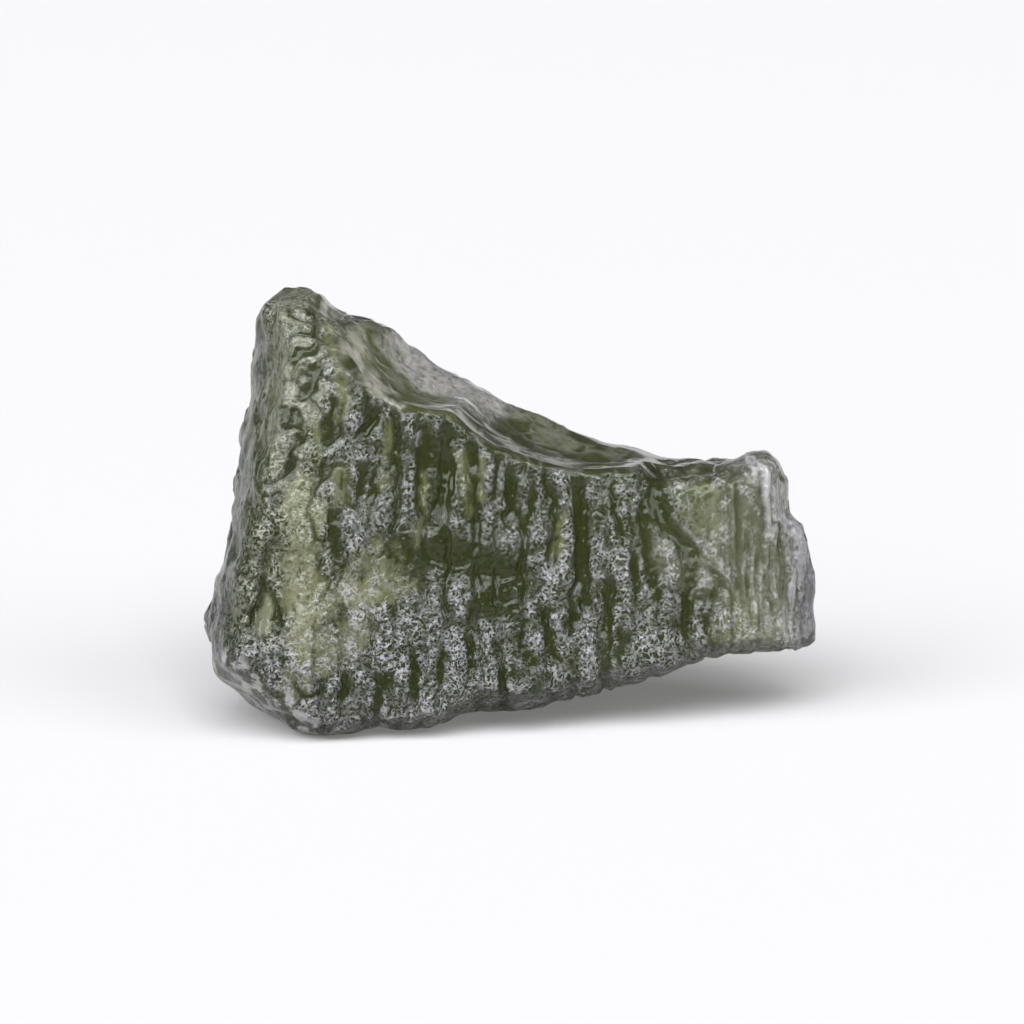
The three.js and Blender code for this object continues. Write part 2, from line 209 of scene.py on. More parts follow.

# Other colours: paler greens (straw, pistachio, sage, moss), partly the glass's own zoning and partly a
# painted glow of light shining through thin glass; pale greys and whites (bone, lilac, pearl, white,
# slate), which are painted reflections and painted highlights; and fern, the green of the clear streaks
STRAW = (0.48, 0.49, 0.27)
PISTACHIO = (0.54, 0.57, 0.37)
SAGE = (0.44, 0.45, 0.33)
MOSS = (0.28, 0.31, 0.13)
REFLECTED_BONE = (0.8, 0.77, 0.66)
REFLECTED_LILAC = (0.76, 0.72, 0.76)
REFLECTED_PEARL = (0.92, 0.88, 0.87)
HIGHLIGHT_WHITE = (0.97, 0.95, 0.96)
REFLECTED_SLATE = (0.22, 0.22, 0.25)
FERN = (0.36, 0.38, 0.19)

# Clear streaks down the front that have little frost: half width, and points along and up the face
STREAKS = [
    (0.52, [(-8.6, 19.7), (-8.2, 18.1), (-7.9, 17.2), (-7.8, 15.6), (-7.8, 14.2)]),
    (0.585, [(-7.8, 12.9), (-7.9, 11.6), (-8.0, 10.5)]),
    (0.325, [(-9.0, 15.1), (-8.9, 12.9)]),
    (0.325, [(-5.7, 15.3), (-5.8, 13.5), (-6.0, 11.0)]),
    (0.286, [(-4.0, 12.8), (-4.1, 10.5), (-4.5, 8.6)]),
    (0.455, [(-2.5, 14.0), (-2.2, 11.9), (-2.0, 9.9)]),
    (0.286, [(-1.5, 13.6), (-1.4, 10.5)]),
    (0.39, [(2.3, 10.9), (2.1, 9.6), (1.9, 8.1)]),
]

# Patches on the etched skin, colour, strength, reach, and points along and up the face: painted grey
# reflection down the left side and along the bottom, paler greens of zoning with painted glow, and painted
# reflections and painted highlights at the peak, the right end and the lower left corner
PATCHES = [
    # Painted grey reflection down the left side and along the bottom
    (REFLECTED_SLATE, 0.6, 1.0, [(-13.7, 4.5), (-13.2, 8.2), (-12.5, 11.9), (-12.3, 14.6), (-11.5, 18.3)]),
    (REFLECTED_SLATE, 0.5, 1.1, [(-13.4, 4.0), (-11.8, 2.2), (-9.8, 0.3)]),
    (REFLECTED_SLATE, 0.4, 0.7, [(-9.8, 0.5), (-4.2, 0.4)]),
    # Paler greens: the glass's zoning, partly a painted glow of light shining through
    (SAGE, 0.65, 2.0, [(-9.7, 20.0), (-9.8, 15.6)]),
    (SAGE, 0.5, 1.4, [(-10.5, 14.4), (-10.3, 11.9)]),
    (STRAW, 0.8, 1.3, [(-9.7, 11.4), (-9.6, 8.2), (-9.7, 4.5)]),
    (STRAW, 0.5, 1.5, [(-9.3, 6.3), (-7.4, 6.8), (-5.6, 7.3)]),
    (STRAW, 0.55, 1.4, [(-7.2, 4.9), (-8.4, 4.2), (-9.7, 3.0)]),
    (PISTACHIO, 0.75, 0.58, [(-11.2, 6.5), (-11.4, 5.3)]),
    (STRAW, 0.45, 1.5, [(-6.3, 8.6), (-6.7, 6.6)]),
    (MOSS, 0.6, 1.6, [(8.3, 11.4), (8.7, 10.3)]),
    (MOSS, 0.6, 1.5, [(10.3, 6.3), (10.1, 4.5)]),
    (SAGE, 0.5, 2.0, [(7.0, 9.0), (9.8, 7.6), (9.6, 10.4)]),
    (SAGE, 0.6, 1.2, [(11.5, 8.2), (11.7, 4.5)]),
    # Painted reflection on the right end face
    (REFLECTED_LILAC, 0.8, 1.1, [(11.7, 12.3), (12.9, 10.0), (13.5, 8.2), (13.6, 5.4), (13.4, 4.0)]),
    # Painted highlights: white glints on the front, at the right end and at the lower left corner, pearl
    # and bone lines at the right end, with a painted grey reflection at its edge
    (HIGHLIGHT_WHITE, 0.9, 0.2, [(-9.3, 20.0), (-9.1, 19.8)]),
    (HIGHLIGHT_WHITE, 0.95, 0.18, [(-4.3, 14.1), (-4.25, 13.6)]),
    (HIGHLIGHT_WHITE, 0.95, 0.18, [(1.4, 12.7), (1.65, 12.75)]),
    (REFLECTED_SLATE, 0.6, 0.4, [(13.6, 7.6), (13.7, 5.5)]),
    (HIGHLIGHT_WHITE, 0.85, 0.55, [(11.0, 12.9), (11.6, 12.1), (11.8, 11.5)]),
    (REFLECTED_PEARL, 0.5, 0.4, [(11.7, 10.9), (11.8, 9.6)]),
    (HIGHLIGHT_WHITE, 0.9, 0.58, [(12.6, 10.2), (13.2, 9.4), (13.5, 8.4)]),
    (REFLECTED_BONE, 0.8, 0.2, [(12.4, 6.7), (12.5, 4.6)]),
    (REFLECTED_BONE, 0.8, 0.2, [(12.9, 8.5), (13.0, 7.2)]),
    (HIGHLIGHT_WHITE, 0.9, 0.5, [(-13.4, 3.5), (-12.7, 3.0)]),
    (HIGHLIGHT_WHITE, 0.9, 0.45, [(-12.5, 2.5), (-12.3, 1.9)]),
    (HIGHLIGHT_WHITE, 0.9, 0.4, [(-11.6, 1.7), (-11.3, 1.2)]),
]
CRISP_REACH = 0.6
PATCH_FADE = (0.15, 1)
CRISP_FADE = (0.25, 0.7)
STREAK_FADE = (0.1, 1.1)

# Pale painted reflections in the chips (bone, pearl), a paler sage and a moss tone of the glass: colour,
# strength, reach, and points along and up the face
CHIP_SHEEN_PATCHES = [
    (MOSS, 0.45, 1.5, [(-6.6, 18.6), (-6.0, 17.2), (-4.6, 16.0), (-3.0, 15.2)]),
    (REFLECTED_BONE, 0.7, 1.05, [(-7.9, 19.9), (-7.6, 19.0), (-7.3, 18.1)]),
    (REFLECTED_BONE, 0.9, 0.675, [(-7.3, 18.1), (-7.0, 17.3), (-6.4, 16.2), (-5.6, 15.5)]),
    (REFLECTED_PEARL, 0.75, 1.5, [(-5.2, 18.6), (-4.8, 17.5), (-3.7, 16.9), (-2.4, 16.3), (-1.0, 15.7)]),
    (SAGE, 0.6, 0.75, [(0.2, 15.2), (1.3, 14.4), (2.4, 13.6)]),
]
CHIP_SHEEN_FADE = (0, 1.3)

# Strengths of the colours that cover whole zones: paler sage at the tip, partly painted glow; moss in the
# chips; fern in the clear streaks; the painted reflected lilac along the chips' net; the deep glass colour
# back in the tip's streaks
TIP_SAGE = 0.35
CHIP_MOSS = 0.12
STREAK_FERN = 0.7
NET_REFLECTED_LILAC = 0.22
TIP_STREAK_DEEP = 0.55
# Flakes on the bevel: painted white glints, with the glass's deep colour between them
GLINT_FLAKE = {"size": 0.7, "grit_size": 0.2, "dark": 0.7, "dark_fade": (0, 0.12), "white_fade": (0.05, 0.15)}

# Where the etched skin has less frost, and so fewer painted glints: how much less, reach, and points along
# and up the face
BARE = [
    (0.97, 1.9, [(-5.0, 8.5), (-2.0, 8.4), (-0.3, 7.6)]),
    (0.85, 0.5, [(-3.9, 14.2), (-3.6, 10.6)]),
    (0.85, 0.5, [(6.6, 12.8), (7.0, 10.2), (8.2, 8.4), (7.9, 5.0)]),
    (0.85, 0.6, [(-11.3, 6.2), (-11.3, 5.0)]),
    (0.1, 1.3, [(-9.7, 11.4), (-9.6, 8.2), (-9.7, 4.5)]),
    (0.1, 1.4, [(-9.3, 6.3), (-7.4, 6.8), (-5.6, 7.3)]),
]

# The frost's patches, clumps and lone dots, which also place the painted glints
FROST_PATCH = {"size": (0.8, 1.2, 0.8), "fade": (-0.4, 0.0)}
CLUMP = {"size": 0.7, "radius": 0.75, "fade": 0.35, "between": 0.35}
DOT = {
    "size": 0.42,
    "radius": 0.34,
    "fade": 0.1,
    "group_size": 1.2,
    "group_fade": (-0.15, 0.15),
    "strength": 0.9,
}

# The glass: fine frost lines, painted as pale glints in its base colour, of this scale per metre, and how
# olive and how dark it gets with depth
TRANSMISSION = 0.76
IOR = 1.5
SPECULAR_TINT = (0.44, 0.45, 0.44, 1)
ROUGHNESS = (0.28, 0.12)
FROST_GLINT_SCALE = 5200
GLINT_LINE = (0.12, 0.065)
GLINT_UNEVEN = (0.35, 0.6)
GLINT_LEAST = 0.18
BUMP = 0.12
BUMP_STRENGTH = (0.05, 1)
ABSORPTION = (0.33, 0.38, 0.13, 1)
ABSORPTION_DENSITY = 170

# The studio, in metres and degrees: lights by name, azimuth from the front, elevation, radiance and colour
FLOOR_COLOUR = (0.379, 0.377, 0.367)
FLOOR_GLOW = 0.44
LIGHTS = [
    ("top_light", 0, 60, 8, (0.95, 0.95, 1)),
    ("left_light", -56, 40, 7, (0.92, 0.93, 1)),
    ("right_light", 60, 46, 4.2, (0.92, 0.93, 1)),
]
LIGHT_DISTANCE = 6.0
LIGHT_SIZE = 4.5
LIGHT_AIM = 0.009
AMBIENT = (0.9, 0.92, 1, 1)
AMBIENT_STRENGTH = 0.08

# The camera: lens and sensor in millimetres, its elevation, and the width and middle of its view
LENS = 240
SENSOR = 36
CAMERA_ELEVATION = 15
VIEW_WIDTH = 0.0474
VIEW_MIDDLE = 0.0093
CLIP_START = 0.01

rng = np.random.default_rng(SEED)
PERMUTATION = rng.permutation(256)
DIRECTIONS = rng.normal(size=(256, 3))
DIRECTIONS /= np.linalg.norm(DIRECTIONS, axis=1)[:, None]


def scatter(cell):
    """A repeatable number from 0 to 255 for each whole-number cell."""
    x, y, z = (cell & 255).T
    return PERMUTATION[(PERMUTATION[(PERMUTATION[x] + y) & 255] + z) & 255]


def waves(points):
    """Smooth gradient noise, about -0.7 to 0.7, that changes over a length of 1."""
    cell = np.floor(points).astype(int)
    inside = points - cell
    fade = inside**3 * (inside * (inside * 6 - 15) + 10)
    total = np.zeros(len(points))
    for corner in np.ndindex(2, 2, 2):
        corner = np.array(corner)
        weight = np.where(corner == 1, fade, 1 - fade).prod(axis=1)
        slope = DIRECTIONS[scatter(cell + corner)]
        total += weight * (slope * (inside - corner)).sum(axis=1)
    return total


def noise(face, size, shift=0):
    """Noise over the stone that changes over a length of size; another shift gives another pattern."""
    return waves(face / size + shift)


def wander(face, distance, size, axes=2):
    """The stone's points moved to and fro by noise, so that what is drawn by them wanders."""
    shifts = (0, 31, 57)[:axes]
    return face[:, :axes] + distance * np.stack([noise(face, size, shift) for shift in shifts], axis=1)


def cells(points):
    """Distances to the nearest and second nearest of points scattered about 1 apart."""
    base = np.floor(points).astype(int)
    nearest = np.full(len(points), 9.0)
    second = np.full(len(points), 9.0)
    for step in np.ndindex(3, 3, 3):
        cell = base + np.array(step) - 1
        middle = cell + 0.5 + 0.45 * DIRECTIONS[scatter(cell)]
        away = np.linalg.norm(points - middle, axis=1)
        second = np.minimum(second, np.maximum(nearest, away))
        nearest = np.minimum(nearest, away)
    return nearest, second


def ramp(value, low, high):
    """0 below low, 1 above high, smooth between."""
    share = np.clip((value - low) / (high - low), 0, 1)
    return share * share * (3 - 2 * share)


def stroke(points, half_width, path, taper=0.0):
    """1 along a line of straight pieces on the face, 0 from half its width on, thinning out at its ends."""
    path = np.array(path, float)
    lengths = np.linalg.norm(np.diff(path, axis=0), axis=1)
    reached = np.concatenate([[0], np.cumsum(lengths)])
    nearest = np.full(len(points), 99.0)
    to_end = np.zeros(len(points))
    for start, end, length, before in zip(path, path[1:], lengths, reached):
        share = np.clip(((points - start) @ (end - start)) / length**2, 0, 1)
        away = np.linalg.norm(points - start - share[:, None] * (end - start), axis=1)
        along = before + share * length
        to_end = np.where(away < nearest, np.minimum(along, reached[-1] - along), to_end)
        nearest = np.minimum(nearest, away)
    line = ramp(1 - nearest / half_width, 0, 0.8)
    taper = min(taper, 0.3 * reached[-1])
    return line * ramp(to_end, -0.1, taper) if taper else line


def face_turn():
    """The turn from the face frame to the part's frame."""
    return np.array(Matrix.Rotation(math.pi / 2 - LEAN, 3, "X"))


def chip_depth(face):
    """How far each point lies inside the deeper of the two chips."""
    share = (face[:, 2] - CHIP_FRONT) / (CHIP_BACK - CHIP_FRONT)
    depths = []
    for front, back in CHIPS:
        along, up, radius = (f + (b - f) * share for f, b in zip(front, back))
        radius = radius + 4 * CHIP_SAG * share * (1 - share)
        depths.append(radius - np.hypot(face[:, 0] - along, face[:, 1] - up))
    return np.maximum(*depths)


def soften(places, edges, passes):
    """Moves points towards the middle of their neighbours, then back, so the whole doesn't shrink."""
    count = np.bincount(edges.ravel(), minlength=len(places))[:, None]
    for step in SOFTEN_STEPS * passes:
        total = np.zeros_like(places)
        for axis in range(3):
            total[:, axis] = np.bincount(edges[:, 0], places[edges[:, 1], axis], len(places))
            total[:, axis] += np.bincount(edges[:, 1], places[edges[:, 0], axis], len(places))
        places = places + step * (total / count - places)
    return places


def mesh_arrays(mesh):
    """Points in millimetres, edges and point normals of a mesh."""
    places = np.zeros(len(mesh.vertices) * 3)
    mesh.vertices.foreach_get("co", places)
    edges = np.zeros(len(mesh.edges) * 2, int)
    mesh.edges.foreach_get("vertices", edges)
    normals = np.zeros(len(mesh.vertices) * 3)
    mesh.vertices.foreach_get("normal", normals)
    return places.reshape(-1, 3) / MM, edges.reshape(-1, 2), normals.reshape(-1, 3)


def smooth_over(mesh, passes):
    """Softens the mesh everywhere but on the flat spot that it rests on."""
    places, edges, _ = mesh_arrays(mesh)
    off_floor = ramp(places[:, 2], *SPOT_FADE)[:, None]
    places += off_floor * (soften(places, edges, passes) - places)
    mesh.vertices.foreach_set("co", (places * MM).ravel())
    mesh.update()


def fine_stone(node):
    """A fine even mesh of the solid, twice as fine where it faces the front."""
    stone = bpy.data.objects.new("moldavite_stone", node.data.copy())
    bpy.context.scene.collection.objects.link(stone)
    weld = stone.modifiers.new("weld", "WELD")
    weld.merge_threshold = WELD * MM
    remesh = stone.modifiers.new("remesh", "REMESH")
    remesh.mode = "VOXEL"
    remesh.voxel_size = VOXEL * MM
    evaluated = stone.evaluated_get(bpy.context.evaluated_depsgraph_get())
    mesh = bpy.data.meshes.new_from_object(evaluated)
    mesh.name = "moldavite_stone"
    stone.modifiers.clear()
    stone.data = mesh
    smooth_over(mesh, SOFTEN_PASSES)
    front = Vector(face_turn()[:, 2])
    finer = bmesh.new()
    finer.from_mesh(mesh)
    seen = {face for face in finer.faces if face.normal.dot(front) > FRONT_FACING}
    edges = [edge for edge in finer.edges if all(face in seen for face in edge.link_faces)]
    bmesh.ops.subdivide_edges(finer, edges=edges, cuts=1, use_grid_fill=True)
    finer.to_mesh(mesh)
    finer.free()
    smooth_over(mesh, FINE_SOFTEN_PASSES)
    return stone


def zones(face, outward):
    """Masks of the stone's faces, by where they turn, and of the parts of the front."""
    along, up, _ = face.T
    side = ramp(outward @ SIDE, *FADES["side"])
    bevel = ramp(outward @ BEVEL, *FADES["bevel"])
    left = ramp(-outward[:, 0], *FADES["left"])
    down = ramp(-outward[:, 1], *FADES["down"])
    chip = ramp(chip_depth(face), *FADES["chip"]) * ramp(outward[:, 1], *FADES["chip_facing_up"])
    fall = ramp(outward[:, 0], *FADES["fall_facing_right"])
    fall *= ramp(-along, *FADES["fall_leftwards"]) * ramp(up, *FADES["fall_upwards"])
    upper_left = ramp(-along, *FADES["upper_left_leftwards"]) * ramp(up, *FADES["upper_left_upwards"])
    return SimpleNamespace(
        front=ramp(outward[:, 2], *FADES["front"]),
        side=side,
        bevel=bevel,
        flank=np.maximum(side, bevel),
        left=left,
        down=down,
        under=down * (1 - left),
        chip=np.maximum(chip, fall),
        upper_left=upper_left,
        upper=ramp(up, *FADES["upper"]) * (1 - upper_left),
        lower=1 - ramp(up, *FADES["above_lower"]),
        right=ramp(along, *FADES["right"]),
        tip=ramp(along, *FADES["tip"]),
    )


def flutes(face, zone, lumpy):
    """Upright grooves between the ribs, broken here and there, with notches across the ribs."""
    sway = RIB["sway"] * noise(face, RIB["sway_size"]) + RIB["shiver"] * noise(face, RIB["shiver_size"])
    across = np.abs(2 * (((face[:, 0] + sway) / RIB["pitch"]) % 1) - 1)
    flute = ramp(RIB["groove"] - across, 0, RIB["groove"])
    flute *= ramp(noise(face, RIB["break_size"], 7), *RIB["break_fade"])
    from_notch = np.abs(noise(face, NOTCH["size"], 19))
    notch = NOTCH["depth"] * ramp(NOTCH["width"] - from_notch, 0, NOTCH["width"])
    return np.maximum(flute, notch) * (1 - zone.flank) * (1 - 0.7 * lumpy) * (1 - 0.5 * zone.tip)


def chip_net(face):
    """A broken net of fine ridges in the chips."""
    near, following = cells(wander(face, **CHIP_NET["wander"]) / CHIP_NET["size"] * CHIP_NET["stretch"])
    ridge = 1 - ramp(following - near, 0, CHIP_NET["width"])
    return ridge * ramp(noise(face, CHIP_NET["gap_size"], 3), *CHIP_NET["gap_fade"])


def etched_marks(face, zone):
    """The marks that etching left, from grooves and flutes to the chips' net and the tip's streaks."""
    groove = np.zeros(len(face))
    wobbly = wander(face, **WOBBLE)
    for half_width, depth, path in GROOVES:
        groove = np.maximum(groove, depth * stroke(wobbly, half_width, path, STROKE_TAPER))
    groove *= zone.front

    lumpy = np.clip(zone.upper_left + 0.5 * zone.right - 0.4 * zone.tip, 0, 1)
    lumpy *= (1 - 0.7 * zone.flank) * (1 - ramp(face[:, 1], *LUMP["end"]))
    warp = LUMP["warp"] * noise(face, LUMP["warp_size"])[:, None]
    billow = np.abs(noise(face, LUMP["size"], warp))
    crease = LUMP["crease"] * ramp(LUMP["crease_width"] - billow, 0, LUMP["crease_fade"]) * lumpy
    flute = flutes(face, zone, lumpy)

    cup_near, _ = cells(face / CUP["size"] * CUP["stretch"])
    grain_near, grain_next = cells(face / GRAIN["size"] * GRAIN["stretch"])
    bead = ramp(grain_next - grain_near, 0, GRAIN["fade"]) + GRAIN["grit"] * noise(face, GRAIN["grit_size"])
    return SimpleNamespace(
        groove=groove,
        flute=flute,
        lumpy=lumpy,
        dome=np.clip(billow / LUMP["dome_width"], 0, 1) ** LUMP["dome_power"],
        cup=ramp(CUP["radius"] - cup_near, 0, CUP["fade"]),
        bead=bead,
        net=chip_net(face),
        streak=zone.tip * ramp(noise(face, TIP["streak_size"], 11), *TIP["streak_fade"]),
        crevice=np.clip(groove / FULL_GROOVE + crease, 0, 1),
        smooth=np.clip(groove / FULL_GROOVE + (1 - 0.4 * zone.lower) * flute + crease, 0, 1),
    )


def relief(face, zone, mark):
    """How far the etched skin stands out from the plain stone, in millimetres."""
    along, up, out = face.T
    carved = np.maximum(mark.groove, RIB["depth"] * mark.flute)
    carved = np.maximum(carved, LUMP["depth"] * mark.lumpy * (1 - mark.dome))
    skin = SKIN + LUMP["rise"] * mark.lumpy - carved - CUP["depth"] * mark.cup
    skin += GRAIN["height"] * (mark.bead - 0.5) * (1 - 0.9 * mark.smooth) * (0.35 + 0.65 * zone.front)
    skin -= TIP["streak"] * mark.streak
    calm = PEAK["calm"] * ramp(up, *PEAK["calm_from"])
    calm += TIP["calm"] * zone.tip * ramp(up, *TIP["calm_from"])
    skin *= 1 - calm
    skin += UNDERSIDE["depth"] * zone.under * noise(face, UNDERSIDE["size"], 23)
    skin += zone.left * (SCALLOP["rise"] + SCALLOP["depth"] * noise(face, SCALLOP["size"]))
    skin -= PEAK["lower"] * ramp(up, *PEAK["lower_from"])
    skin += UNDERSIDE["tip_rise"] * zone.tip * zone.down
    rim = CHIP_RIM["height"] * ramp(-out, *CHIP_RIM["backwards"]) * ramp(along, *CHIP_RIM["start"])
    rim *= ramp(CHIP_RIM["end"] - along, 0, CHIP_RIM["end_fade"])
    return skin * (1 - zone.chip) + zone.chip * (CHIP_NET["height"] * mark.net + rim)


def bulge(face):
    """How far the peak and the lower corner swell to the left, in millimetres."""
    total = np.zeros(len(face))
    for height, leftwards, upwards, top in BULGES:
        swell = ramp(-face[:, 0], *leftwards) * ramp(face[:, 1], *upwards)
        total += height * swell * ramp(top - face[:, 1], 0, BULGE_FADE)
    return total


def blend(tint, colour, share):
    """Moves the tint of each point towards a colour by its share."""
    tint += share[:, None] * (np.array(colour) - tint)


def colour_glass_and_painted_light(face, zone, mark):
    """The colour of the glass at each point, with the painted glow of its paler zones, painted reflections
    and painted highlights, and the clear streaks.
    """
    wobbly = wander(face, **WOBBLE)
    mottled = wander(face, **MOTTLE)
    ragged = noise(face, (0.5, 1.0, 0.5), 17) + 1.4 * noise(face, 0.22)
    strand = noise(face, (0.16, 1.2, 0.3), 29)
    skin = (1 - zone.chip) * (1 - 0.92 * mark.crevice) * (0.4 + 0.6 * ramp(face[:, 2], -1, 2))

    tint = np.tile(np.array(DEEP), (len(face), 1))
    # Paler sage at the tip: the glass's zoning, partly a painted glow of light shining through
    blend(tint, SAGE, TIP_SAGE * zone.tip)
    blend(tint, MOSS, CHIP_MOSS * zone.chip)
    # Patches: painted grey reflection, paler greens with painted glow, painted reflections and painted
    # highlights
    for colour, strength, reach, path in PATCHES:
        if reach < CRISP_REACH:
            patch = ramp(stroke(wobbly, reach, path) * (1 + 0.7 * ragged), *CRISP_FADE)
        else:
            patch = ramp(stroke(mottled, reach, path) * (1 + ragged), *PATCH_FADE)
        blend(tint, colour, strength * patch * skin)

    clear = np.zeros(len(face))
    for half_width, path in STREAKS:
        edge = stroke(wobbly, half_width, path, STROKE_TAPER) * (1 + 0.6 * ragged + 0.9 * strand)
        clear = np.maximum(clear, ramp(edge, *STREAK_FADE))
    clear *= zone.front * (1 - zone.chip)
    blend(tint, FERN, STREAK_FERN * clear)

    # Pale painted reflections in the chips, with sage and moss tones
    for colour, strength, reach, path in CHIP_SHEEN_PATCHES:
        chip_sheen = stroke(mottled, reach, path) * (1 + 0.5 * ragged + 0.8 * strand)
        blend(tint, colour, strength * ramp(chip_sheen, *CHIP_SHEEN_FADE) * zone.chip)
    # Painted reflected lilac along the ridges of the chips' net
    blend(tint, REFLECTED_LILAC, NET_REFLECTED_LILAC * zone.chip * mark.net)
    blend(tint, DEEP, TIP_STREAK_DEEP * mark.streak)
    # Painted white glints on the bevel, with the glass's deep colour between them
    glint_flake = noise(face, GLINT_FLAKE["size"], 5) + 0.5 * noise(face, GLINT_FLAKE["grit_size"])
    blend(tint, DEEP, GLINT_FLAKE["dark"] * zone.bevel * ramp(-glint_flake, *GLINT_FLAKE["dark_fade"]))
    blend(tint, HIGHLIGHT_WHITE, zone.bevel * ramp(glint_flake, *GLINT_FLAKE["white_fade"]))
    return tint, clear


def frost_and_glint_cover(face, zone, mark, clear):
    """How much frost each point has, which also sets its painted glints: patches and clumps on the ribs,
    and lone dots in the lower half.
    """
    mottled = wander(face, **MOTTLE)
    etched = (1 - mark.smooth) * (1 - zone.chip)
    frost_and_glint = etched * ramp(noise(face, FROST_PATCH["size"]), *FROST_PATCH["fade"])
    for less, reach, path in BARE:
        frost_and_glint *= 1 - less * stroke(mottled, reach, path)
    frost_and_glint **= 1 - 0.5 * zone.lower
    clump_near, _ = cells(face / CLUMP["size"])
    clump = ramp(CLUMP["radius"] - clump_near, 0, CLUMP["fade"])
    frost_and_glint *= CLUMP["between"] + (1 - CLUMP["between"]) * clump
    frost_and_glint = np.maximum(frost_and_glint, 0.6 * zone.upper_left * etched)

    dot_near, _ = cells(face / DOT["size"])
    dots = ramp(DOT["radius"] - dot_near, 0, DOT["fade"])
    dots *= ramp(noise(face, DOT["group_size"], 41), *DOT["group_fade"])
    dots *= (1 - ramp(face[:, 1], *FADES["above_dots"])) * (1 - 0.7 * mark.smooth) * (1 - zone.chip)
    frost_and_glint = np.maximum(frost_and_glint, DOT["strength"] * dots)

    frost_and_glint *= 1 - 0.7 * clear
    frost_and_glint *= (1 - 0.2 * zone.upper) * (1 - 0.05 * zone.right) * (1 - 0.5 * mark.streak)
    frost_and_glint *= (1 - 0.6 * zone.side) * (1 - 0.6 * zone.bevel)
    # Less frost and fewer painted glints where a face turns neither to the front nor down
    return frost_and_glint * (0.4 + 0.6 * np.maximum(zone.front, 0.7 * zone.under))


def keep_mask(mesh, name, values):
    """Stores a value or a colour for each point, for the glass to read."""
    if values.ndim == 1:
        mask = mesh.attributes.new(name, "FLOAT", "POINT")
        mask.data.foreach_set("value", values.astype(np.float32))
    else:
        mask = mesh.attributes.new(name, "FLOAT_COLOR", "POINT")
        mask.data.foreach_set("color", np.insert(values, 3, 1, axis=1).astype(np.float32).ravel())


def etch(stone):
    """Adds the fine relief to the mesh, and keeps its colours and masks for the glass."""
    mesh = stone.data
    places, _, normals = mesh_arrays(mesh)
    turn = face_turn()
    face = (places - FACE_ORIGIN) @ turn
    zone = zones(face, normals @ turn)
    mark = etched_marks(face, zone)

    off_floor = ramp(places[:, 2], *SPOT_FADE)
    places += (relief(face, zone, mark) * off_floor)[:, None] * normals
    places -= bulge(face)[:, None] * turn[:, 0]
    mesh.vertices.foreach_set("co", (places * MM).ravel())
    mesh.update()

    tint, clear = colour_glass_and_painted_light(face, zone, mark)
    frost_and_glint = frost_and_glint_cover(face, zone, mark, clear)
    # The colour of the painted glints in the frost speckle, warmer at the upper left
    warm = ramp(-face[:, 0], *FADES["warm_leftwards"]) * ramp(face[:, 1], *FADES["warm_upwards"])
    glint_colour = np.tile(np.array(GLINT_FROST), (len(face), 1))
    blend(glint_colour, WARM_GLINT_FROST, warm)
    gloss = np.maximum(zone.chip, (0.85 - 0.5 * zone.upper_left) * (1 - frost_and_glint))
    for name, values in (("gloss", gloss), ("frost_and_glint", frost_and_glint), ("tint", tint), ("glint_colour", glint_colour)):
        keep_mask(mesh, name, values)
    mesh.polygons.foreach_set("use_smooth", np.ones(len(mesh.polygons), bool))


def mask_node(tree, name):
    """A node that reads one of the stone's masks."""
    node = tree.nodes.new("ShaderNodeAttribute")
    node.attribute_name = name
    return node


def arithmetic(tree, operation, *values):
    """The outcome of a sum of sockets or plain numbers."""
    node = tree.nodes.new("ShaderNodeMath")
    node.operation = operation
    for socket, value in zip(node.inputs, values):
        if isinstance(value, bpy.types.NodeSocket):
            tree.links.new(value, socket)
        else:
            socket.default_value = value
    return node.outputs[0]


def spread(tree, value, before, after):
    """A value with one range turned into another."""
    node = tree.nodes.new("ShaderNodeMapRange")
    for name, number in zip(("From Min", "From Max", "To Min", "To Max"), (*before, *after)):
        node.inputs[name].default_value = number
    tree.links.new(value, node.inputs["Value"])
    return node.outputs[0]


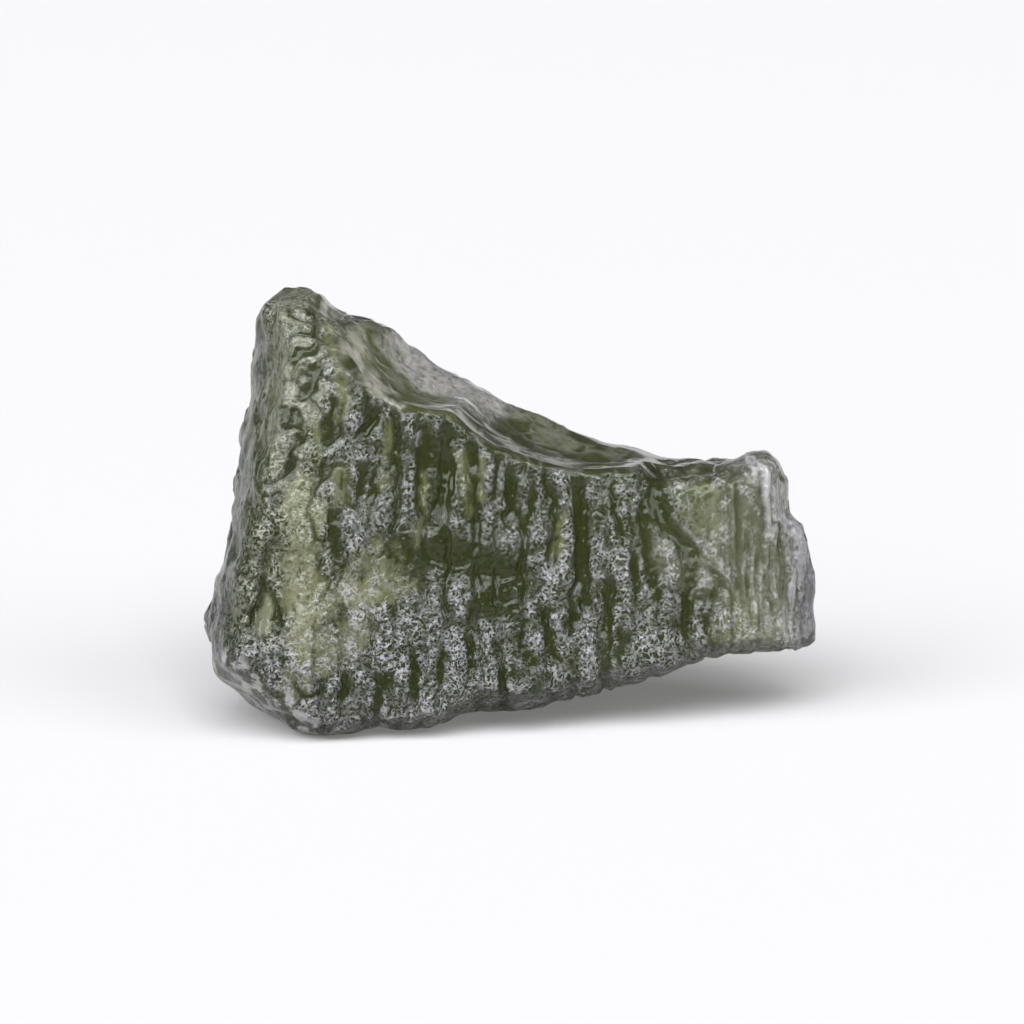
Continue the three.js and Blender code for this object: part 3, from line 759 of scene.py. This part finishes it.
def glass():
    """Olive glass that darkens with depth: speckled frost on the ribs, its glints painted pale into the
    base colour, gloss in the grooves and chips.
    """
    material = bpy.data.materials.new("moldavite_glass")
    material.use_nodes = True
    tree = material.node_tree
    shader = tree.nodes["Principled BSDF"]
    shader.inputs["Transmission Weight"].default_value = TRANSMISSION
    shader.inputs["IOR"].default_value = IOR
    shader.inputs["Specular Tint"].default_value = SPECULAR_TINT

    place = tree.nodes.new("ShaderNodeTexCoord")
    grain = tree.nodes.new("ShaderNodeTexNoise")
    grain.inputs["Scale"].default_value = FROST_GLINT_SCALE
    grain.inputs["Detail"].default_value = 1
    tree.links.new(place.outputs["Object"], grain.inputs["Vector"])
    # Fine lines of the frost speckle, painted as pale glints into the base colour
    level = arithmetic(tree, "SUBTRACT", grain.outputs["Fac"], 0.5)
    line = spread(tree, arithmetic(tree, "ABSOLUTE", level), GLINT_LINE, (0, 1))
    bands = tree.nodes.new("ShaderNodeSeparateColor")
    tree.links.new(grain.outputs["Color"], bands.inputs["Color"])
    uneven = spread(tree, bands.outputs["Green"], GLINT_UNEVEN, (GLINT_LEAST, 1))
    frost_and_glint = mask_node(tree, "frost_and_glint").outputs["Fac"]
    glint_speck = arithmetic(tree, "MULTIPLY", arithmetic(tree, "MULTIPLY", line, uneven), frost_and_glint)

    colour = tree.nodes.new("ShaderNodeMix")
    colour.data_type = "RGBA"
    tree.links.new(glint_speck, colour.inputs["Factor"])
    tree.links.new(mask_node(tree, "tint").outputs["Color"], colour.inputs["A"])
    tree.links.new(mask_node(tree, "glint_colour").outputs["Color"], colour.inputs["B"])
    tree.links.new(colour.outputs["Result"], shader.inputs["Base Color"])

    gloss = mask_node(tree, "gloss").outputs["Fac"]
    tree.links.new(spread(tree, gloss, (0, 1), ROUGHNESS), shader.inputs["Roughness"])

    bump = tree.nodes.new("ShaderNodeBump")
    bump.inputs["Distance"].default_value = BUMP * MM
    tree.links.new(spread(tree, frost_and_glint, (0, 1), BUMP_STRENGTH), bump.inputs["Strength"])
    tree.links.new(grain.outputs["Fac"], bump.inputs["Height"])
    tree.links.new(bump.outputs["Normal"], shader.inputs["Normal"])

    absorb = tree.nodes.new("ShaderNodeVolumeAbsorption")
    absorb.inputs["Color"].default_value = ABSORPTION
    absorb.inputs["Density"].default_value = ABSORPTION_DENSITY
    tree.links.new(absorb.outputs["Volume"], tree.nodes["Material Output"].inputs["Volume"])
    return material


def floor_white():
    """A matt pale surface with a faint glow."""
    material = bpy.data.materials.new("studio_white")
    material.use_nodes = True
    shader = material.node_tree.nodes["Principled BSDF"]
    shader.inputs["Base Color"].default_value = (*FLOOR_COLOUR, 1)
    shader.inputs["Roughness"].default_value = 0.9
    shader.inputs["Specular IOR Level"].default_value = 0.1
    shader.inputs["Emission Color"].default_value = (*FLOOR_COLOUR, 1)
    shader.inputs["Emission Strength"].default_value = FLOOR_GLOW
    return material


def sweep():
    """A floor that curves up into a backdrop."""
    width, front, back, bend, top = 3.0, -1.5, 1.2, 0.15, 0.2
    bend_steps = 12
    profile = [(front, 0.0), (back - bend, 0.0)]
    for step in range(1, bend_steps + 1):
        turn = math.radians(90 * step / bend_steps)
        profile.append((back - bend + bend * math.sin(turn), bend - bend * math.cos(turn)))
    profile.append((back, top))
    points = [(side * width / 2, y, z) for y, z in profile for side in (-1, 1)]
    faces = [(2 * i, 2 * i + 1, 2 * i + 3, 2 * i + 2) for i in range(len(profile) - 1)]
    mesh = bpy.data.meshes.new("studio_floor")
    mesh.from_pydata(points, [], faces)
    mesh.polygons.foreach_set("use_smooth", np.ones(len(mesh.polygons), bool))
    floor = bpy.data.objects.new("studio_floor", mesh)
    bpy.context.scene.collection.objects.link(floor)
    mesh.materials.append(floor_white())


def direction(azimuth, elevation):
    """The way from the stone to something at this azimuth (0 is the front) and elevation, in degrees."""
    a, e = math.radians(azimuth), math.radians(elevation)
    return Vector((math.sin(a) * math.cos(e), -math.cos(a) * math.cos(e), math.sin(e)))


def softbox(name, azimuth, elevation, radiance, colour):
    """A square light that looks at the stone."""
    light = bpy.data.lights.new(name, "AREA")
    light.shape = "SQUARE"
    light.size = LIGHT_SIZE
    light.energy = radiance * math.pi * LIGHT_SIZE * LIGHT_SIZE
    light.color = colour
    lamp = bpy.data.objects.new(name, light)
    way = direction(azimuth, elevation)
    lamp.location = way * LIGHT_DISTANCE + Vector((0, 0, LIGHT_AIM))
    lamp.rotation_euler = way.to_track_quat("Z", "Y").to_euler()
    bpy.context.scene.collection.objects.link(lamp)


def camera():
    """A long lens in front of the stone, a little above it."""
    lens = bpy.data.cameras.new("camera")
    lens.lens = LENS
    lens.sensor_width = SENSOR
    lens.clip_start = CLIP_START
    eye = bpy.data.objects.new("camera", lens)
    way = direction(0, CAMERA_ELEVATION)
    eye.location = Vector((0, 0, VIEW_MIDDLE)) + way * (VIEW_WIDTH * LENS / SENSOR)
    eye.rotation_euler = way.to_track_quat("Z", "Y").to_euler()
    bpy.context.scene.collection.objects.link(eye)
    bpy.context.scene.camera = eye


def studio():
    """The faint light from all round, and how light is traced and shown."""
    world = bpy.data.worlds.new("studio")
    world.use_nodes = True
    world.node_tree.nodes["Background"].inputs["Color"].default_value = AMBIENT
    world.node_tree.nodes["Background"].inputs["Strength"].default_value = AMBIENT_STRENGTH
    scene = bpy.context.scene
    scene.world = world
    scene.view_settings.view_transform = "Standard"
    scene.cycles.max_bounces = 6
    scene.cycles.transmission_bounces = 4
    scene.cycles.caustics_reflective = False
    scene.cycles.caustics_refractive = False


stone = fine_stone(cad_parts["moldavite"])
etch(stone)
stone.data.materials.clear()
stone.data.materials.append(glass())
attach(stone, "root")
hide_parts("moldavite")

sweep()
for light in LIGHTS:
    softbox(*light)
camera()
studio()
